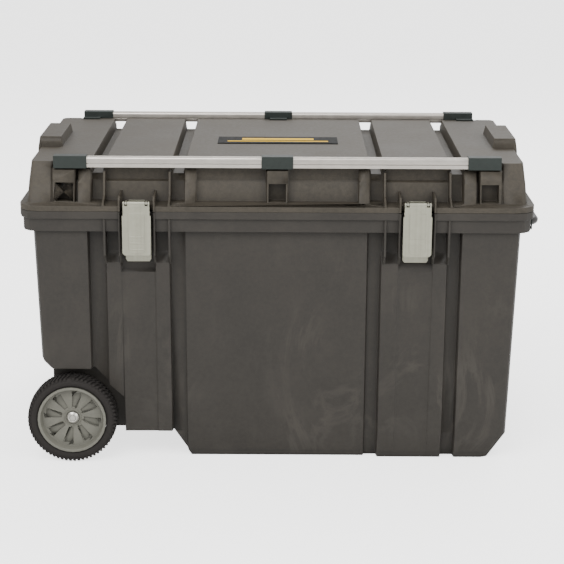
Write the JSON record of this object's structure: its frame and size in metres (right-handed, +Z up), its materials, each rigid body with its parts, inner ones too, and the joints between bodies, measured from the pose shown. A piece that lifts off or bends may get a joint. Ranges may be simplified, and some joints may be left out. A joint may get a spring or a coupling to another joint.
{
  "type": "wheeled job chest",
  "caption": "Large wheeled moulded job chest with a hinged lid carrying aluminium rails, steel lever latches, a tubular pull handle and a sliding tote tray.",
  "frame": {"origin": "on the floor, on the face the chest stands on, midway along the chest's length and depth", "axes": "+X along the chest towards the pull-handle end, the wheels being at -X; -Y is the front with the latches; +Z up"},
  "size_m": [1.008, 0.627, 0.62],
  "materials": {
    "moulded_tub": "fine moulded grain, scuffed",
    "moulded_lid": "fine moulded grain, dusty",
    "green_black_trim": "satin moulded",
    "rail_aluminium": "satin extruded",
    "latch_steel": "zinc plated, pressed",
    "hub_plastic": "moulded",
    "tyre_rubber": "moulded rubber",
    "seal_rubber": "soft",
    "bush_nylon": "moulded nylon",
    "badge_black": "glossy, thin",
    "handle_paint": "semi-gloss powder coat",
    "tray_plastic": "moulded"
  },
  "bodies": {
    "tub": {"tub": "moulded_tub", "axle": "latch_steel", "push_cap_front": "latch_steel", "push_cap_rear": "latch_steel", "wheel_washer_front": "latch_steel", "wheel_washer_rear": "latch_steel", "hinge_pin_left": "latch_steel", "hinge_pin_middle": "latch_steel", "hinge_pin_right": "latch_steel", "handle_guide_front": "green_black_trim", "handle_guide_rear": "green_black_trim", "handle_socket_front": "green_black_trim", "handle_socket_rear": "green_black_trim", "latch_base_left": "latch_steel", "latch_base_right": "latch_steel", "latch_pin_left": "latch_steel", "latch_pin_right": "latch_steel", "latch_rivet_left_outer": "latch_steel", "latch_rivet_left_inner": "latch_steel", "latch_rivet_right_outer": "latch_steel", "latch_rivet_right_inner": "latch_steel"},
    "lid": {"lid": "moulded_lid", "lid_seal": "seal_rubber", "badge_plate": "badge_black", "rail_front": "rail_aluminium", "rail_rear": "rail_aluminium", "rail_clip_front": "green_black_trim", "rail_clip_rear": "green_black_trim", "rail_cap_front_left": "green_black_trim", "rail_cap_front_right": "green_black_trim", "rail_cap_rear_left": "green_black_trim", "rail_cap_rear_right": "green_black_trim"},
    "lever_left": {"latch_lever_left": "latch_steel", "claw_pin_left": "latch_steel"},
    "lever_right": {"latch_lever_right": "latch_steel", "claw_pin_right": "latch_steel"},
    "claw_left": {"latch_claw_left": "latch_steel"},
    "claw_right": {"latch_claw_right": "latch_steel"},
    "wheel_front": {"tyre_front": "tyre_rubber", "wheel_hub_front": "hub_plastic", "wheel_bush_front": "bush_nylon"},
    "wheel_rear": {"tyre_rear": "tyre_rubber", "wheel_hub_rear": "hub_plastic", "wheel_bush_rear": "bush_nylon"},
    "handle": {"pull_handle": "handle_paint", "leg_stop_front": "bush_nylon", "leg_stop_rear": "bush_nylon"},
    "tray": {"tote_tray": "tray_plastic"}
  },
  "joints": [
    {"name": "lid_hinge", "type": "hinge", "parent": "tub", "child": "lid", "pos_m": [0, 0.31, 0.51415], "axis": [-1, 0, 0], "range_deg": [0, 105]},
    {"name": "latch_lever_left_hinge", "type": "hinge", "parent": "tub", "child": "lever_left", "pos_m": [-0.269, -0.3045, 0.532], "axis": [-1, 0, 0], "range_deg": [0, 120]},
    {"name": "latch_lever_right_hinge", "type": "hinge", "parent": "tub", "child": "lever_right", "pos_m": [0.269, -0.3045, 0.532], "axis": [-1, 0, 0], "range_deg": [0, 120]},
    {"name": "latch_claw_left_hinge", "type": "hinge", "parent": "lever_left", "child": "claw_left", "pos_m": [-0.269, -0.30293, 0.51407], "axis": [-1, 0, 0], "range_deg": [-14.4, 0]},
    {"name": "latch_claw_right_hinge", "type": "hinge", "parent": "lever_right", "child": "claw_right", "pos_m": [0.269, -0.30293, 0.51407], "axis": [-1, 0, 0], "range_deg": [-14.4, 0]},
    {"name": "wheel_front_spin", "type": "hinge", "parent": "tub", "child": "wheel_front", "pos_m": [-0.4056, -0.2795, 0.089], "axis": [0, 1, 0], "continuous": true},
    {"name": "wheel_rear_spin", "type": "hinge", "parent": "tub", "child": "wheel_rear", "pos_m": [-0.4056, 0.2795, 0.089], "axis": [0, 1, 0], "continuous": true},
    {"name": "handle_slide", "type": "slide", "parent": "tub", "child": "handle", "axis": [1, 0, 0], "range_m": [0, 0.3]},
    {"name": "tray_slide", "type": "slide", "parent": "tub", "child": "tray", "axis": [1, 0, 0], "range_m": [0, 0.472]}
  ],
  "couplings": [
    {"joint": "latch_claw_left_hinge", "follows": "latch_lever_left_hinge", "ratio": -0.12},
    {"joint": "latch_claw_right_hinge", "follows": "latch_lever_right_hinge", "ratio": -0.12}
  ]
}
